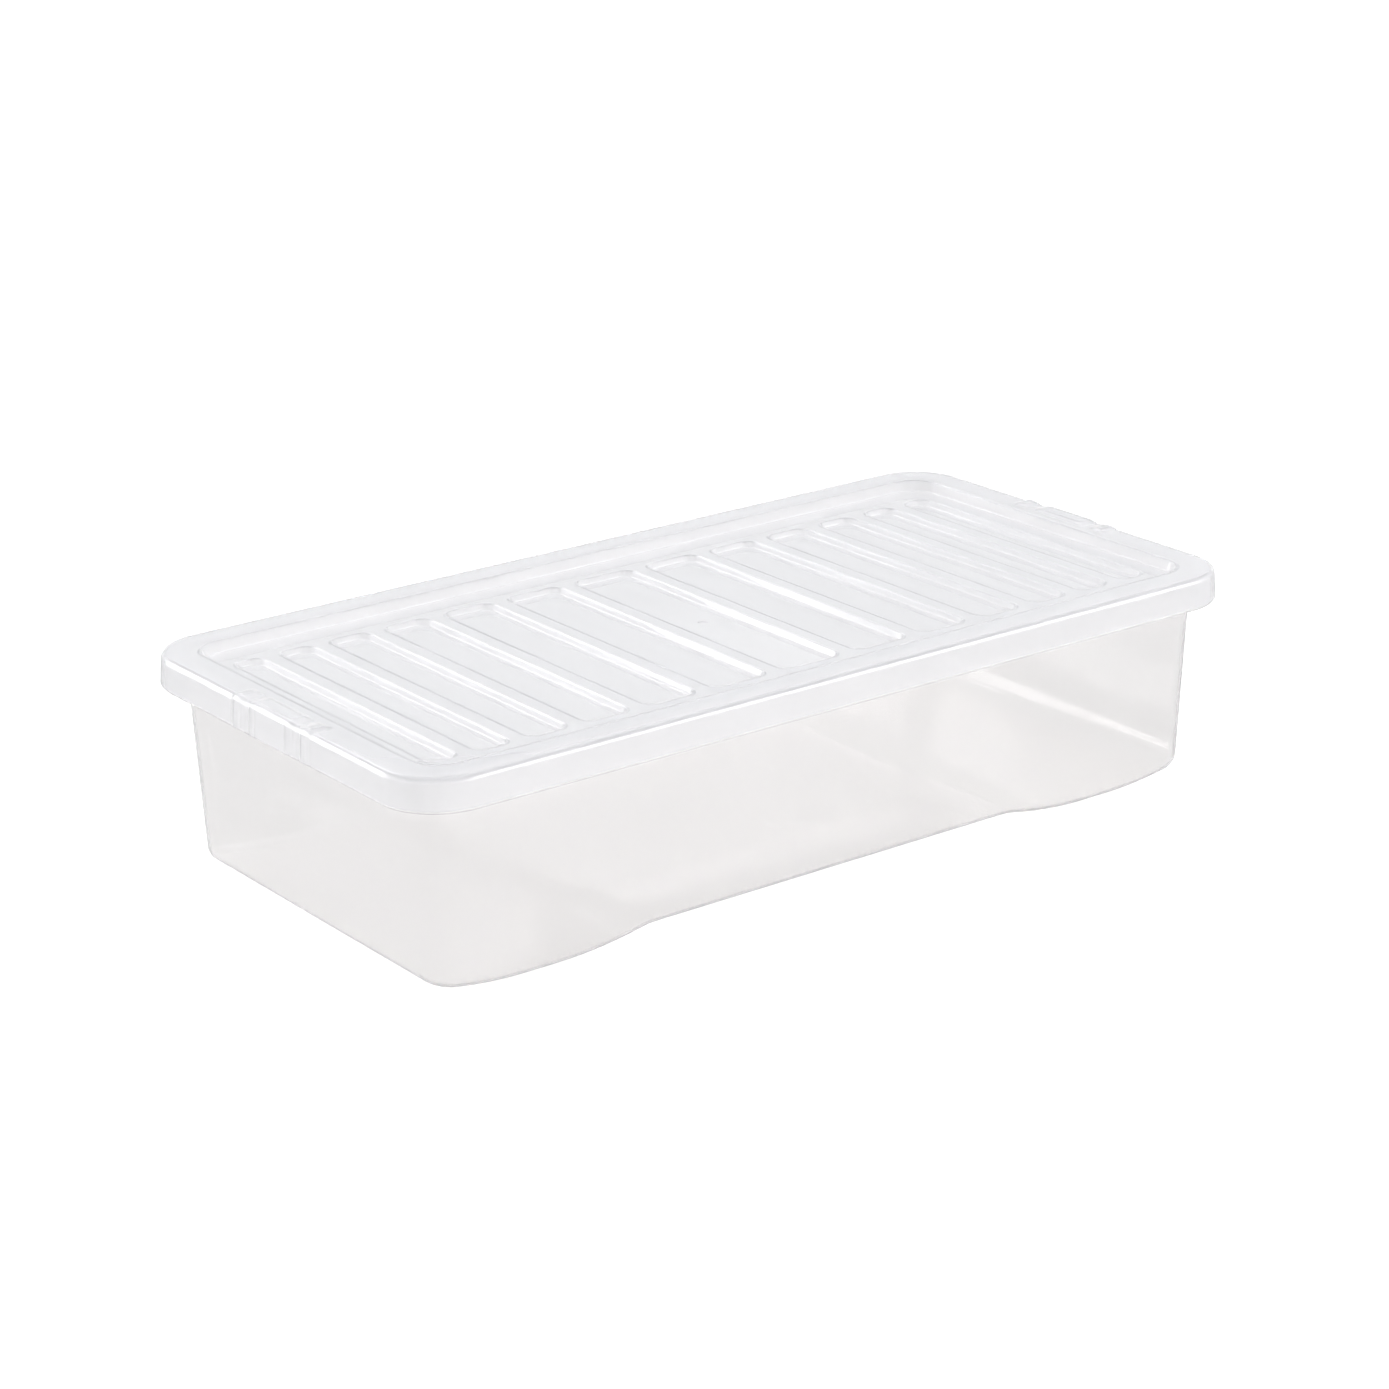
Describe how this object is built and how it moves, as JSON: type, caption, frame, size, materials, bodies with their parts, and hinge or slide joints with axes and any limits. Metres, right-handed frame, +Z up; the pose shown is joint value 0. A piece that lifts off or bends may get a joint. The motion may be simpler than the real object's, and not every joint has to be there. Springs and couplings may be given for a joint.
{
  "type": "under bed box",
  "caption": "Long low clear plastic storage box with a lift-off ribbed lid, tapered walls, rolled rim and broad curved feet, sized to slide under a bed.",
  "frame": {"origin": "centre of the footprint on the floor, under the middle of the box", "axes": "+X along the length, +Y across the width, +Z up through the lid"},
  "size_m": [0.798, 0.401, 0.1815],
  "materials": {
    "clear_tub": "clear natural polypropylene, glossy outside, slightly milky",
    "clear_lid": "clear natural polypropylene, glossy, slightly milky and cool in tone"
  },
  "bodies": {
    "tub": {"tub": "clear_tub"},
    "lid": {"lid": "clear_lid"}
  },
  "joints": [
    {"name": "lid_lift", "type": "slide", "parent": "tub", "child": "lid", "axis": [0, 0, 1], "range_m": [0, 0.22]}
  ]
}
